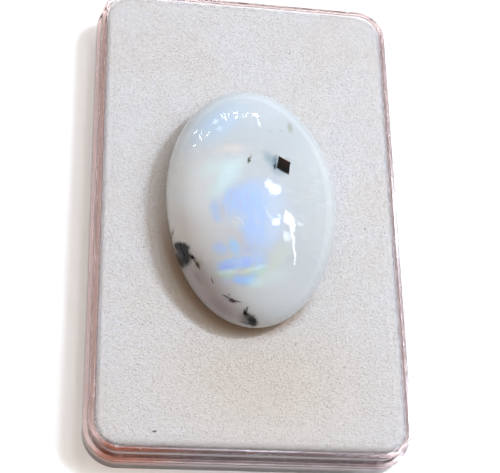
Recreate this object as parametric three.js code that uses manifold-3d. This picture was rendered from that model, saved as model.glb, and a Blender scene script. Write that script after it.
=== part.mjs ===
// A polished moonstone cabochon lying on the velvet pad of a shallow, clear
// plastic display tray with rounded corners.
// Units are millimetres and +Z is up. The origin is the middle of the tray's
// underside, and the tray's long side runs along Y.
import * as THREE from "three";
import { mergeVertices } from "three/addons/utils/BufferGeometryUtils.js";
import Module from "manifold-3d";

const wasm = await Module();
wasm.setup();

// The pad sets the size of the tray around it.
const PAD_WIDTH = 50;
const PAD_LENGTH = 82.8;
const PAD_CORNER = 4.2;
const PAD_EDGE_ROUND = 0.7;

// The tray: a floor, a lower wall, and a thinner lip that a lid would slide
// over, so that a ledge runs all round where the two meet.
const TRAY_HEIGHT = 8;
const TRAY_FLOOR = 1.2;
const LIP_THICKNESS = 0.7;
const LIP_HEIGHT = 3.6;
const LIP_EDGE_ROUND = 0.15;
const LEDGE_WIDTH = 0.7;
const WALL_EDGE_ROUND = 0.35;
const CAVITY_EDGE_ROUND = 0.6;

// The clearance between pieces that rest on or beside each other.
const SEAT_GAP = 0.3;

// The stone: an oval cut by hand, a little fuller on one side than a true
// ellipse, with a rounded edge under its widest line and a flat base.
const STONE_LENGTH = 43;
const STONE_WIDTH = 28.8;
const STONE_HEIGHT = 11;
const STONE_GIRDLE_HEIGHT = 2.4;
const STONE_BASE_INSET = 1.3;
const STONE_DOME_FULLNESS = 2.25;
const STONE_LOPSIDED_SHARE = 0.012;
const STONE_LOPSIDED_TURN = THREE.MathUtils.degToRad(14.6);
const STONE_TURN = THREE.MathUtils.degToRad(1.9);
const STONE_OFFSET_X = -0.26;
const STONE_OFFSET_Y = -0.34;

// How finely the curves are cut into flat faces.
const CORNER_STEPS = 10;
const ROUND_STEPS = 2;
const STONE_STEPS_AROUND = 56;
const STONE_DOME_RINGS = 20;
const STONE_EDGE_RINGS = 5;

const LIP_INSET = LIP_THICKNESS + SEAT_GAP;
const WALL_INSET = LIP_INSET + LEDGE_WIDTH;
const PAD_BOTTOM = TRAY_FLOOR + SEAT_GAP;
const STONE_BOTTOM = TRAY_HEIGHT + SEAT_GAP;

// A rectangle with round corners, grown by `margin` on every side of the pad's
// outline.
function roundedOutline(margin) {
  const halfWidth = PAD_WIDTH / 2 + margin;
  const halfLength = PAD_LENGTH / 2 + margin;
  const radius = PAD_CORNER + margin;
  const x = halfWidth - radius;
  const y = halfLength - radius;
  const outline = new THREE.Shape();
  outline.absarc(x, y, radius, 0, Math.PI / 2);
  outline.absarc(-x, y, radius, Math.PI / 2, Math.PI);
  outline.absarc(-x, -y, radius, Math.PI, (3 * Math.PI) / 2);
  outline.absarc(x, -y, radius, (3 * Math.PI) / 2, 2 * Math.PI);
  return outline;
}

// A block of that outline from z = bottom to z = top, its edges rounded by
// `edgeRound` at both ends without growing past the outline.
function roundedBlock(margin, bottom, top, edgeRound) {
  const block = new THREE.ExtrudeGeometry(roundedOutline(margin), {
    depth: top - bottom - 2 * edgeRound,
    curveSegments: CORNER_STEPS,
    bevelEnabled: true,
    bevelThickness: edgeRound,
    bevelSize: edgeRound,
    bevelOffset: -edgeRound,
    bevelSegments: ROUND_STEPS,
  });
  block.translate(0, 0, bottom + edgeRound);
  return block;
}

// A closed geometry as a solid that can be joined and cut.
function solidFrom(geometry) {
  const bare = geometry.clone();
  bare.deleteAttribute("normal");
  bare.deleteAttribute("uv");
  const merged = mergeVertices(bare, 1e-4);
  const mesh = new wasm.Mesh({
    numProp: 3,
    vertProperties: merged.attributes.position.array,
    triVerts: new Uint32Array(merged.index.array),
  });
  return new wasm.Manifold(mesh);
}

// The solid's surface as a three.js geometry.
function geometryFrom(solid) {
  const mesh = solid.getMesh();
  const geometry = new THREE.BufferGeometry();
  const positions = new THREE.BufferAttribute(mesh.vertProperties, mesh.numProp);
  geometry.setAttribute("position", positions);
  geometry.setIndex(new THREE.BufferAttribute(mesh.triVerts, 1));
  geometry.computeVertexNormals();
  return geometry;
}

// The lower wall and the lip are joined, and the pad's space is cut out of
// them down to the floor.
function trayGeometry() {
  const ledgeHeight = TRAY_HEIGHT - LIP_HEIGHT;
  const wall = roundedBlock(WALL_INSET, 0, ledgeHeight, WALL_EDGE_ROUND);
  const lip = roundedBlock(LIP_INSET, TRAY_FLOOR, TRAY_HEIGHT, LIP_EDGE_ROUND);
  const pastTheRim = TRAY_HEIGHT + 2 * CAVITY_EDGE_ROUND;
  const cavity = roundedBlock(
    SEAT_GAP,
    TRAY_FLOOR,
    pastTheRim,
    CAVITY_EDGE_ROUND,
  );
  const shell = solidFrom(wall).add(solidFrom(lip));
  return geometryFrom(shell.subtract(solidFrom(cavity)));
}

function padGeometry() {
  return roundedBlock(0, PAD_BOTTOM, TRAY_HEIGHT, PAD_EDGE_ROUND);
}

// Half the stone's width in the direction `turn`, measured from its long axis.
function stoneRadius(turn) {
  const a = STONE_LENGTH / 2;
  const b = STONE_WIDTH / 2;
  const ellipse = (a * b) / Math.hypot(b * Math.cos(turn), a * Math.sin(turn));
  const lopsided = Math.cos(3 * (turn - STONE_LOPSIDED_TURN));
  return ellipse * (1 - STONE_LOPSIDED_SHARE * lopsided);
}

// The stone's section as [share of the radius, height, inset] for one ring of
// points: the dome from its top down to the girdle, the round under it, and
// the flat base.
function stoneSection(ring) {
  const girdle = STONE_GIRDLE_HEIGHT;
  if (ring <= STONE_DOME_RINGS) {
    const fall = Math.sin(((ring / STONE_DOME_RINGS) * Math.PI) / 2);
    const rise = Math.sqrt(1 - Math.pow(fall, STONE_DOME_FULLNESS));
    return [fall, girdle + (STONE_HEIGHT - girdle) * rise, 0];
  }
  const under = ring - STONE_DOME_RINGS;
  if (under <= STONE_EDGE_RINGS) {
    const angle = ((under / STONE_EDGE_RINGS) * Math.PI) / 2;
    const inset = STONE_BASE_INSET * (1 - Math.cos(angle));
    return [1, girdle * (1 - Math.sin(angle)), inset];
  }
  return [0, 0, 0];
}

// A sphere whose rings of points are moved onto the stone's sections.
function stoneGeometry() {
  const rings = STONE_DOME_RINGS + STONE_EDGE_RINGS + 1;
  const geometry = new THREE.SphereGeometry(1, STONE_STEPS_AROUND, rings);
  const positions = geometry.attributes.position;
  const pointsPerRing = STONE_STEPS_AROUND + 1;
  for (let i = 0; i < positions.count; i++) {
    const ring = Math.floor(i / pointsPerRing);
    const step = (i % pointsPerRing) % STONE_STEPS_AROUND;
    const turn = (-2 * Math.PI * step) / STONE_STEPS_AROUND;
    const [share, height, inset] = stoneSection(ring);
    const radius = share * stoneRadius(turn) - inset;
    const x = radius * Math.sin(turn);
    const y = radius * Math.cos(turn);
    positions.setXYZ(i, x, y, height);
  }
  geometry.computeVertexNormals();
  return geometry;
}

function clearPlastic() {
  return new THREE.MeshStandardMaterial({
    color: 0xe9e4e2,
    roughness: 0.08,
    metalness: 0,
    transparent: true,
    opacity: 0.4,
  });
}

function velvet() {
  return new THREE.MeshStandardMaterial({
    color: 0xd6d2cd,
    roughness: 1,
    metalness: 0,
  });
}

function moonstone() {
  return new THREE.MeshStandardMaterial({
    color: 0xd3dbe6,
    roughness: 0.12,
    metalness: 0,
  });
}

function namedMesh(name, geometry, material) {
  const mesh = new THREE.Mesh(geometry, material);
  mesh.name = name;
  return mesh;
}

function moonstoneOnPad() {
  const stone = namedMesh("moonstone", stoneGeometry(), moonstone());
  stone.position.set(STONE_OFFSET_X, STONE_OFFSET_Y, STONE_BOTTOM);
  stone.rotation.z = STONE_TURN;
  return stone;
}

const part = new THREE.Group();
part.name = "moonstone_in_display_tray";
part.add(namedMesh("display_tray", trayGeometry(), clearPlastic()));
part.add(namedMesh("velvet_pad", padGeometry(), velvet()));
part.add(moonstoneOnPad());

export default part;
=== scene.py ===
"""A polished moonstone cabochon on the velvet pad of a clear display tray."""

import math

import bmesh
import bpy
import numpy as np
from mathutils import Matrix, Vector
from mathutils.bvhtree import BVHTree


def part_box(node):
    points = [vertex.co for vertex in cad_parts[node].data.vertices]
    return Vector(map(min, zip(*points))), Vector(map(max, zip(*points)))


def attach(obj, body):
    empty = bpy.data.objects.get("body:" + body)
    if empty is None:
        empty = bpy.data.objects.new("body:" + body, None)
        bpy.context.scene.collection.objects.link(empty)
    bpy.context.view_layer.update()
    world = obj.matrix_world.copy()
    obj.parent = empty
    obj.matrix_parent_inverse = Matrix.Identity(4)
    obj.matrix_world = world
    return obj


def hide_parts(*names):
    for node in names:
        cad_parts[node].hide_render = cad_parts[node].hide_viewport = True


bl_info = {
    "name": "Moonstone in a display tray",
    "version": (1, 0, 0),
    "blender": (4, 5, 0),
    "location": "3D View > Sidebar > Moonstone",
    "description": "Builds a polished moonstone on the velvet pad of a clear tray",
    "category": "Add Mesh",
}

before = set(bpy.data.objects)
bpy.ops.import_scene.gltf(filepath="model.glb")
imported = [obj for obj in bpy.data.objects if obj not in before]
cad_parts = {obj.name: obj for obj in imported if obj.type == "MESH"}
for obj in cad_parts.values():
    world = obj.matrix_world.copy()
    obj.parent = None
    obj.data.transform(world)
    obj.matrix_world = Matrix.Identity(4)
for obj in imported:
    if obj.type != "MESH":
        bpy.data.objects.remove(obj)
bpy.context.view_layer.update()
TRAY_LOW, TRAY_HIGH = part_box("display_tray")
PAD_LOW, PAD_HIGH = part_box("velvet_pad")
STONE_LOW, STONE_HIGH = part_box("moonstone")

MM = 0.001

# The pad's corner radius, as in the solids, the band along its edge where the top
# falls away, and how far it falls there.
PAD_CORNER = 4.2 * MM
PAD_EDGE_BAND = 0.8 * MM
PAD_EDGE_DROP = 0.35 * MM

# The stone's outline and section, as in the solids.
STONE_LENGTH = 43 * MM
STONE_WIDTH = 28.8 * MM
STONE_FULLNESS = 2.25
STONE_LOPSIDED_SHARE = 0.012
STONE_LOPSIDED_TURN = math.radians(14.6)
STONE_TURN = math.radians(1.9)
STONE_MIDDLE = Vector((-0.26 * MM, -0.34 * MM))


# ---- Sizes and colours ----


def length(name, description, default):
    """A size in metres for one of the property groups."""
    return bpy.props.FloatProperty(
        name=name, description=description, default=default, min=0.0, max=1.0, precision=5, unit="LENGTH"
    )


def tint(name, description, default):
    """A linear colour for one of the property groups."""
    return bpy.props.FloatVectorProperty(
        name=name, description=description, default=default, size=3, min=0.0, max=1.0, subtype="COLOR"
    )


def strength(name, description, default):
    """A strength or a density for one of the property groups."""
    return bpy.props.FloatProperty(name=name, description=description, default=default, min=0.0)


class TraySettings(bpy.types.PropertyGroup):
    """Sizes and tint of the clear tray."""

    corner: length("Corner", "Radius of the upright outer corners", PAD_CORNER + 1.7 * MM)
    floor: length("Floor", "Thickness of the floor under the pad", 1.2 * MM)
    lip: length("Lip", "Thickness of the lip that stands round the pad", 0.88 * MM)
    lip_height: length("Lip height", "Height of the lip above the ledge", 3.6 * MM)
    ledge: length("Ledge", "Width of the ledge that the lid would sit on", 0.7 * MM)
    rim_slope: length("Rim slope", "Width of the slope along the rim", 0.33 * MM)
    rim_fall: length("Rim fall", "Fall of that slope towards the pad", 0.14 * MM)
    clear: tint("Clear", "Tint of the plastic", (0.93, 0.885, 0.875))
    # Painted shade on the near, right and left walls, and a painted reflection at the near left corner.
    near: tint("Near side", "Brown cast on the near side", (0.3, 0.24, 0.245))
    side: tint("Right side", "Grey cast on the right side", (0.36, 0.32, 0.325))
    left_painted_shade: tint("Left side", "Reddish cast on the left side", (0.86, 0.75, 0.72))
    corner_painted_reflection: tint("Corner tint", "Rusty cast at the near corner", (0.5, 0.22, 0.14))
    smoke: tint("Smoke", "Colour that light takes on in the plastic", (0.54, 0.27, 0.19))
    smoke_density: strength("Smoke density", "How fast the plastic takes light away, per metre", 85.0)


class PadSettings(bpy.types.PropertyGroup):
    """Sizes and colours of the pad and its pile."""

    pile_depth: length("Pile", "Depth of the pile over the board", 0.24 * MM)
    swell: length("Swell", "How far the padding may push the cloth out", 0.1 * MM)
    voxel: length("Voxel", "Mesh size of the padding", 0.85 * MM)
    fibres: bpy.props.IntProperty(
        name="Fibres", description="Number of tufts in each layer", default=44500, min=100, max=45000
    )
    fibre_length: length("Tuft length", "Mean length of a tuft", 0.38 * MM)
    fibre_width: length("Tuft width", "Mean width of a tuft", 0.15 * MM)
    nap_turn: bpy.props.FloatProperty(
        name="Nap direction",
        description="Way the pile is brushed, counter-clockwise from the short side",
        default=math.radians(-52),
        subtype="ANGLE",
    )
    warm: tint("Warm", "Beige of the pile", (0.765, 0.72, 0.665))
    cool: tint("Cool", "Cool grey of the pile", (0.78, 0.8, 0.86))
    shade: tint("Shade", "Colour deep between the tufts", (0.71, 0.665, 0.625))
    # Painted shadow: brown laid on the pile round the stone, on its near left side away from the lamps.
    painted_shade: tint("Stain", "Pile crushed and darkened by the stone", (0.42, 0.29, 0.2))
    grit: tint("Grit", "Specks of dark grit in the pile", (0.17, 0.17, 0.2))
    # Painted shade along the pad's near edge, where the pile turns down towards the lip.
    hem: tint("Hem", "Darker pile along the near edge", (0.45, 0.42, 0.42))
    # Partly the board's own raw edge, and partly painted shade in the gap between the pad and the lip.
    board: tint("Board", "Raw edge of the board under the pile", (0.36, 0.27, 0.26))


class StoneSettings(bpy.types.PropertyGroup):
    """Finish and colours of the moonstone."""

    girdle: length("Girdle", "Height of the stone's widest line", 2.4 * MM)
    base_inset: length("Base", "How far the base is drawn in", 1.3 * MM)
    waviness: length("Waviness", "Unevenness left by polishing by hand", 0.02 * MM)
    milk: tint("Milk", "Main colour of the stone", (0.635, 0.675, 0.69))
    sky: tint("Sky", "Bluish milk at the far end", (0.58, 0.68, 0.765))
    haze: tint("Haze", "Grey milk at the near end", (0.555, 0.61, 0.645))
    veil: tint("Veil", "Pearly veil on one side", (0.64, 0.62, 0.63))
    # Painted shade: brown laid on the stone's lower left edge, away from the lamps, where it meets the
    # pad.
    painted_shade: tint("Stain", "Brown of the clear near flank", (0.3, 0.25, 0.255))
    flash: tint("Flash", "Blue of the flash", (0.47, 0.65, 0.98))
    # Painted glow: the bluest parts of the stone give out this light of their own.
    glow: tint("Glow", "Light that the blue layers send back", (0.01, 0.03, 0.13))
    ink: tint("Ink", "Black of the crystals in the stone", (0.006, 0.006, 0.007))


class StageSettings(bpy.types.PropertyGroup):
    """Floor, lamps and camera."""

    floor: tint("Floor", "Colour of the floor", (0.92, 0.92, 0.92))
    floor_glow: strength("Floor glow", "Light that comes up through the floor", 0.17)
    room: tint("Room", "Colour of the light from the room", (1.0, 0.82, 0.64))
    room_low: tint("Low room", "Colour of the light from low down in the room", (0.6, 0.42, 0.33))
    room_strength: strength("Room light", "Strength of the light from the room", 0.48)
    daylight: tint("Daylight", "Colour of the lamps", (0.78, 0.88, 1.0))
    key_glow: strength("Key lamp", "Brightness of a lamp's face at a share of one", 32.0)


# ---- Modelling helpers ----


def activate(piece):
    """Makes one object the active and only selected one."""
    bpy.ops.object.select_all(action="DESELECT")
    piece.select_set(True)
    bpy.context.view_layer.objects.active = piece


def new_primitive(name, add, **sizes):
    """Adds a primitive with nothing else selected and applies its place."""
    bpy.ops.object.select_all(action="DESELECT")
    add(**sizes)
    piece = bpy.context.object
    piece.name = name
    piece.data.name = name
    bpy.ops.object.transform_apply(location=True, rotation=True, scale=True)
    return piece


def new_block(name, low, high):
    """A box between its two corners."""
    add = bpy.ops.mesh.primitive_cube_add
    return new_primitive(name, add, size=1, location=(low + high) / 2, scale=high - low)


def select_where(piece, kind, test):
    """In edit mode, selects the edges or faces that pass the test."""
    bpy.ops.mesh.select_mode(type="FACE" if kind == "faces" else "EDGE")
    bpy.ops.mesh.select_all(action="DESELECT")
    mesh = bmesh.from_edit_mesh(piece.data)
    chosen = [element for element in getattr(mesh, kind) if test(element)]
    for element in chosen:
        element.select_set(True)
    bmesh.update_edit_mesh(piece.data)
    if not chosen:
        raise RuntimeError(f"{piece.name} has no {kind} to select for this step")


def faces_up(face):
    """True for a face that looks straight up."""
    return face.normal.z > 0.99


def stands_upright(edge):
    """True for an edge that runs straight up."""
    along = edge.verts[1].co - edge.verts[0].co
    return abs(along.z) > 0.99 * along.length


def sharp_edge_at(height, convex=None):
    """A test for the sharp edges at that height, of one kind or of both."""

    def test(edge):
        level = all(abs(v.co.z - height) < 0.01 * MM for v in edge.verts)
        if not level or edge.calc_face_angle(0) < math.radians(45):
            return False
        return convex is None or edge.is_convex == convex

    return test


def round_edges(piece, test, radius, steps):
    """Rounds the edges that pass the test."""
    select_where(piece, "edges", test)
    bpy.ops.mesh.bevel(offset=radius, segments=steps, profile=0.5, affect="EDGES", clamp_overlap=False)


def inset_selected(width):
    """Insets the selected faces."""
    bpy.ops.mesh.inset(thickness=width, use_even_offset=True)


def raise_selected(height):
    """Extrudes the selected faces straight up or down."""
    bpy.ops.mesh.extrude_region_move(TRANSFORM_OT_translate={"value": (0, 0, height)})


def apply_modifier(piece, kind, **settings):
    """Adds a modifier, sets it and applies it."""
    activate(piece)
    bpy.ops.object.modifier_add(type=kind)
    modifier = piece.modifiers[-1]
    for key, value in settings.items():
        setattr(modifier, key, value)
    bpy.ops.object.modifier_apply(modifier=modifier.name)


def points_of(mesh):
    """The mesh's points as rows of x, y and z."""
    flat = np.empty(len(mesh.vertices) * 3)
    mesh.vertices.foreach_get("co", flat)
    return flat.reshape(-1, 3)


def set_points(mesh, points):
    """Moves the mesh's points."""
    mesh.vertices.foreach_set("co", np.asarray(points, float).ravel())
    mesh.update()


def dress(piece, material, slot, *nodes):
    """Gives a piece its finish and its place in the frame."""
    piece.data.materials.clear()
    piece.data.materials.append(material)
    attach(piece, "root")
    if nodes:
        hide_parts(*nodes)


# ---- Material helpers ----


class Wiring:
    """Adds and links the nodes of one node tree."""

    def __init__(self, tree):
        self.tree = tree

    def feed(self, node, inputs):
        """Links each named input to its value, or sets it; a plain colour becomes opaque."""
        for key, value in inputs.items():
            socket = node.inputs[key]
            if isinstance(value, bpy.types.NodeSocket):
                self.tree.links.new(value, socket)
            elif socket.type == "RGBA":
                socket.default_value = (*value, 1.0)
            else:
                socket.default_value = value

    def node(self, kind, inputs, output=0, **settings):
        """One output of a new node with its settings and inputs."""
        node = self.tree.nodes.new("ShaderNode" + kind)
        for key, value in settings.items():
            setattr(node, key, value)
        self.feed(node, inputs)
        return node.outputs[output]

    def math(self, operation, *values):
        """A Math node's result."""
        return self.node("Math", dict(enumerate(values)), operation=operation)

    def vector(self, operation, first, second, output=0):
        """A Vector Math node's result."""
        return self.node("VectorMath", {0: first, 1: second}, output, operation=operation)

    def dot(self, first, second):
        """How far one vector reaches along another."""
        return self.vector("DOT_PRODUCT", first, second, "Value")

    def fade(self, value, start, end, low=0.0, high=1.0):
        """The value's place between start and end, eased at both."""
        inputs = dict(enumerate((value, start, end, low, high)))
        return self.node("MapRange", inputs, interpolation_type="SMOOTHSTEP")

    def blend(self, share, first, second):
        """One colour laid over another."""
        return self.node("Mix", {0: share, 6: first, 7: second}, 2, data_type="RGBA")

    def cover(self, colour, *coats):
        """A colour with others laid over it, each given as its share and itself."""
        for share, coat in coats:
            colour = self.blend(share, colour, coat)
        return colour

    def noise(self, place, scale, detail=2.0, roughness=0.5, output="Fac"):
        """A Noise Texture's result."""
        inputs = {"Vector": place, "Scale": scale, "Detail": detail, "Roughness": roughness}
        return self.node("TexNoise", inputs, output)

    def wander(self, place, reach, *grain):
        """The place, pushed about by noise."""
        noise = self.noise(place, *grain, output="Color")
        push = self.vector("SUBTRACT", noise, (0.5, 0.5, 0.5))
        push = self.node("VectorMath", {0: push, "Scale": reach}, operation="SCALE")
        return self.vector("ADD", place, push)

    def millimetres(self, turn=0.0, stretch=(1.0, 1.0, 1.0)):
        """The place on the object in millimetres, turned and stretched."""
        place = self.node("TexCoord", {}, "Object")
        inputs = {"Vector": place, "Scale": [s / MM for s in stretch], "Rotation": (0, 0, turn)}
        return self.node("Mapping", inputs, vector_type="POINT")

    def split(self, place):
        """The place's x, y and z."""
        return tuple(self.node("SeparateXYZ", {0: place}).node.outputs)

    def bump(self, height, distance, **under):
        """A Bump node's normal."""
        inputs = {"Strength": 1.0, "Distance": distance, "Height": height, **under}
        return self.node("Bump", inputs)

    def mark(self, *values):
        """The share that a mark covers, from a value for each of its inputs."""
        return self.node("Group", dict(zip(MARK_INPUTS, values)), node_tree=mark_group())


def new_material(name):
    """A material, its wiring and its shader node."""
    material = bpy.data.materials.new(name)
    material.use_nodes = True
    tree = material.node_tree
    return material, Wiring(tree), tree.nodes["Principled BSDF"]


MARK_GROUP = "Mark on a surface"
MARK_INPUTS = {
    "Place": "NodeSocketVector",
    "Centre": "NodeSocketVector",
    "Along": "NodeSocketVector",
    "Across": "NodeSocketVector",
    "Inwards": "NodeSocketVector",
    "Squareness": "NodeSocketFloat",
    "Softness": "NodeSocketFloat",
}


def mark_group():
    """The group for one mark: an oval or a slab seen face on, down to a depth."""
    if MARK_GROUP in bpy.data.node_groups:
        return bpy.data.node_groups[MARK_GROUP]
    tree = bpy.data.node_groups.new(MARK_GROUP, "ShaderNodeTree")
    for name, kind in MARK_INPUTS.items():
        tree.interface.new_socket(name, in_out="INPUT", socket_type=kind)
    tree.interface.new_socket("Mask", in_out="OUTPUT", socket_type="NodeSocketFloat")
    wiring = Wiring(tree)
    given = tree.nodes.new("NodeGroupInput").outputs
    from_centre = wiring.vector("SUBTRACT", given["Place"], given["Centre"])
    along = wiring.math("ABSOLUTE", wiring.dot(from_centre, given["Along"]))
    across = wiring.math("ABSOLUTE", wiring.dot(from_centre, given["Across"]))
    slab = wiring.math("MAXIMUM", along, across)
    squares = wiring.math("MULTIPLY_ADD", along, along, wiring.math("MULTIPLY", across, across))
    oval = wiring.math("SQRT", squares)
    gap = wiring.math("SUBTRACT", slab, oval)
    reach = wiring.math("MULTIPLY_ADD", gap, given["Squareness"], oval)
    outer = wiring.math("ADD", 1.0, given["Softness"])
    inner = wiring.math("SUBTRACT", 1.0, given["Softness"])
    mask = wiring.fade(reach, outer, inner)
    near_face = wiring.fade(wiring.dot(from_centre, given["Inwards"]), 1.0, 0.8)
    end = tree.nodes.new("NodeGroupOutput")
    wiring.feed(end, {0: wiring.math("MULTIPLY", mask, near_face)})
    return tree


# ---- The clear tray ----

CORNER_STEPS = 14
EDGE_STEPS = 5


def model_tray(settings):
    """The lower wall, the ledge, the lip and the pocket for the pad."""
    wall_top = TRAY_HIGH.z - settings.lip_height
    slope_foot = TRAY_HIGH.z - settings.rim_fall
    floor_top = TRAY_LOW.z + settings.floor
    tray = new_block("tray_shell", TRAY_LOW, Vector((TRAY_HIGH.x, TRAY_HIGH.y, wall_top)))
    bpy.ops.object.mode_set(mode="EDIT")
    round_edges(tray, stands_upright, settings.corner, CORNER_STEPS)
    select_where(tray, "faces", faces_up)
    inset_selected(settings.ledge)
    raise_selected(settings.lip_height)
    inset_selected(settings.lip - settings.rim_slope)
    inset_selected(settings.rim_slope)
    bpy.ops.transform.translate(value=(0, 0, -settings.rim_fall))
    raise_selected(floor_top - slope_foot)
    # The rounded edges: their height, whether they stand out, and their radius.
    rounds = (
        (TRAY_LOW.z, True, 0.35 * MM),
        (wall_top, True, 0.35 * MM),
        (wall_top, False, 0.12 * MM),
        (TRAY_HIGH.z, True, 0.14 * MM),
        (slope_foot, True, 0.08 * MM),
        (floor_top, False, 0.6 * MM),
    )
    for height, convex, radius in rounds:
        round_edges(tray, sharp_edge_at(height, convex), radius, EDGE_STEPS)
    bpy.ops.object.mode_set(mode="OBJECT")
    bpy.ops.object.shade_smooth_by_angle(angle=math.radians(20))
    apply_modifier(tray, "WEIGHTED_NORMAL", keep_sharp=True)
    return tray


def tray_collection():
    """The collection of the pieces that the rim lamps light."""
    name = "Lit by the rim lamps"
    if name in bpy.data.collections:
        return bpy.data.collections[name]
    return bpy.data.collections.new(name)


def clear_plastic(settings):
    """Clear moulded plastic with a faint smoky tint and fine scratches, with painted shade on three
    walls and a painted reflection at one corner.
    """
    material, wiring, shader = new_material("Clear plastic")
    place = wiring.millimetres()
    x, y, z = wiring.split(place)
    wall_x = PAD_HIGH.x / MM
    wall_y = PAD_LOW.y / MM
    # Painted shade darkens the near, right and left walls; the mark at the near left corner is a painted
    # rusty reflection.
    colour = wiring.cover(
        settings.clear,
        (wiring.fade(y, wall_y, wall_y - 0.5), settings.near),
        (wiring.fade(x, wall_x, wall_x + 0.5), settings.side),
        (wiring.fade(x, -wall_x, -wall_x - 0.5, 0.0, 0.9), settings.left_painted_shade),
        (pad_mark(wiring, place, (-22.0, -43.0), (9.0, 2.2), 0.8), settings.corner_painted_reflection),
    )
    rim = TRAY_HIGH.z / MM
    ledge = rim - settings.lip_height / MM
    on_rim = wiring.fade(z, rim - 0.5, rim - 0.3)
    from_ledge = wiring.fade(z, ledge - 0.4, ledge - 0.1)
    to_ledge = wiring.fade(z, ledge + 0.1, ledge + 0.05)
    handled = wiring.math("MAXIMUM", on_rim, wiring.math("MULTIPLY", from_ledge, to_ledge))
    worn = wiring.fade(wiring.noise(place, 0.35, 3.0), 0.45, 0.75, 0.02, 0.09)
    scratched = wiring.noise(wiring.millimetres(0.6, (0.6, 14.0, 3.0)), 1.0, 3.0)
    flow = wiring.bump(wiring.noise(place, 0.25, 1.0), 0.02 * MM)
    finish = {
        "Base Color": colour,
        "Roughness": wiring.math("MULTIPLY_ADD", handled, 0.1, worn),
        "IOR": 1.57,
        "Transmission Weight": 1.0,
        "Normal": wiring.bump(wiring.fade(scratched, 0.62, 0.72), 0.004 * MM, Normal=flow),
    }
    wiring.feed(shader, finish)
    haze = {"Color": settings.smoke, "Density": settings.smoke_density}
    smoke = wiring.node("VolumeAbsorption", haze)
    wiring.feed(material.node_tree.nodes["Material Output"], {"Volume": smoke})
    return material


class GEMBOX_OT_tray(bpy.types.Operator):
    """Model the clear tray round the pad"""

    bl_idname = "gembox.tray"
    bl_label = "Clear tray"

    def execute(self, context):
        settings = context.scene.gembox_tray
        tray = model_tray(settings)
        dress(tray, clear_plastic(settings), "clear_plastic", "display_tray")
        tray.visible_shadow = False
        tray_collection().objects.link(tray)
        return {"FINISHED"}


# ---- The velvet pad ----

# The cloth's short run: its frames, its pressure and how finely it is worked out.
CLOTH_FRAMES = 20
CLOTH_PRESSURE = 4.0
CLOTH_QUALITY = 5

# Dark specks in the pile: x, y, half length and half width in millimetres.
GRIT = (
    (-15.72, -38.99, 0.3, 0.16),
    (8.02, 32.25, 0.13, 0.12),
    (20.09, -2.08, 0.17, 0.14),
)


def pad_margin(x, y):
    """How far inside the pad's outline each place is."""
    half = (PAD_HIGH - PAD_LOW) / 2
    out_x = np.abs(x) - (half.x - PAD_CORNER)
    out_y = np.abs(y) - (half.y - PAD_CORNER)
    corner = np.hypot(np.maximum(out_x, 0), np.maximum(out_y, 0))
    return PAD_CORNER - corner - np.minimum(np.maximum(out_x, out_y), 0)


def edge_fall(x, y):
    """How far each place is into the pad's edge band: 0 inside it, 1 at the outline."""
    return np.clip(1 - pad_margin(x, y) / PAD_EDGE_BAND, 0, 1)


def model_pad(settings):
    """The board and padding under the pile, a little smaller than its space."""
    swell = Vector((settings.swell, settings.swell, 0.0))
    low = PAD_LOW + swell
    high = PAD_HIGH - swell
    high.z = PAD_HIGH.z - settings.pile_depth - settings.swell
    pad = new_block("pad_block", low, high)
    bpy.ops.object.mode_set(mode="EDIT")
    round_edges(pad, stands_upright, PAD_CORNER - settings.swell, 10)
    round_edges(pad, sharp_edge_at(low.z), 0.5 * MM, 3)
    bpy.ops.object.mode_set(mode="OBJECT")
    apply_modifier(pad, "REMESH", mode="VOXEL", voxel_size=settings.voxel)
    return pad


def square_up(pad, top):
    """Lifts the soft rounding of the pad's top to a flat face with a tight edge."""
    points = points_of(pad.data)
    tight = top - PAD_EDGE_DROP * edge_fall(points[:, 0], points[:, 1]) ** 2
    high = points[:, 2] > top - 1.3 * MM
    points[high, 2] = np.maximum(points[:, 2], tight)[high]
    set_points(pad.data, points)


def stuff(pad, most):
    """Swells the pad as padded cloth, no point moving further than `most`."""
    scene = bpy.context.scene
    before = points_of(pad.data)
    activate(pad)
    bpy.ops.object.modifier_add(type="CLOTH")
    cloth = pad.modifiers[-1]
    cloth.settings.use_pressure = True
    cloth.settings.uniform_pressure_force = CLOTH_PRESSURE
    cloth.settings.quality = CLOTH_QUALITY
    cloth.settings.effector_weights.gravity = 0.0
    for step in range(CLOTH_FRAMES):
        scene.frame_set(step + 1)
    swollen = pad.evaluated_get(bpy.context.evaluated_depsgraph_get())
    moved = points_of(swollen.data) - before
    above = before[:, 2] > (PAD_LOW.z + PAD_HIGH.z) / 2
    moved[above, 2] = np.maximum(moved[above, 2], 0)
    reach = np.linalg.norm(moved, axis=1, keepdims=True)
    share = np.minimum(1.0, most / np.maximum(reach, 1e-9))
    activate(pad)
    bpy.ops.object.modifier_remove(modifier=cloth.name)
    scene.frame_set(1)
    set_points(pad.data, before + moved * share)


def pad_mark(wiring, place, centre, half_size, softness):
    """A round mark on the pad, in millimetres."""
    along = (1 / half_size[0], 0.0, 0.0)
    across = (0.0, 1 / half_size[1], 0.0)
    return wiring.mark(place, (*centre, 0.0), along, across, (0.0, 0.0, 0.0), 0.0, softness)


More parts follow.
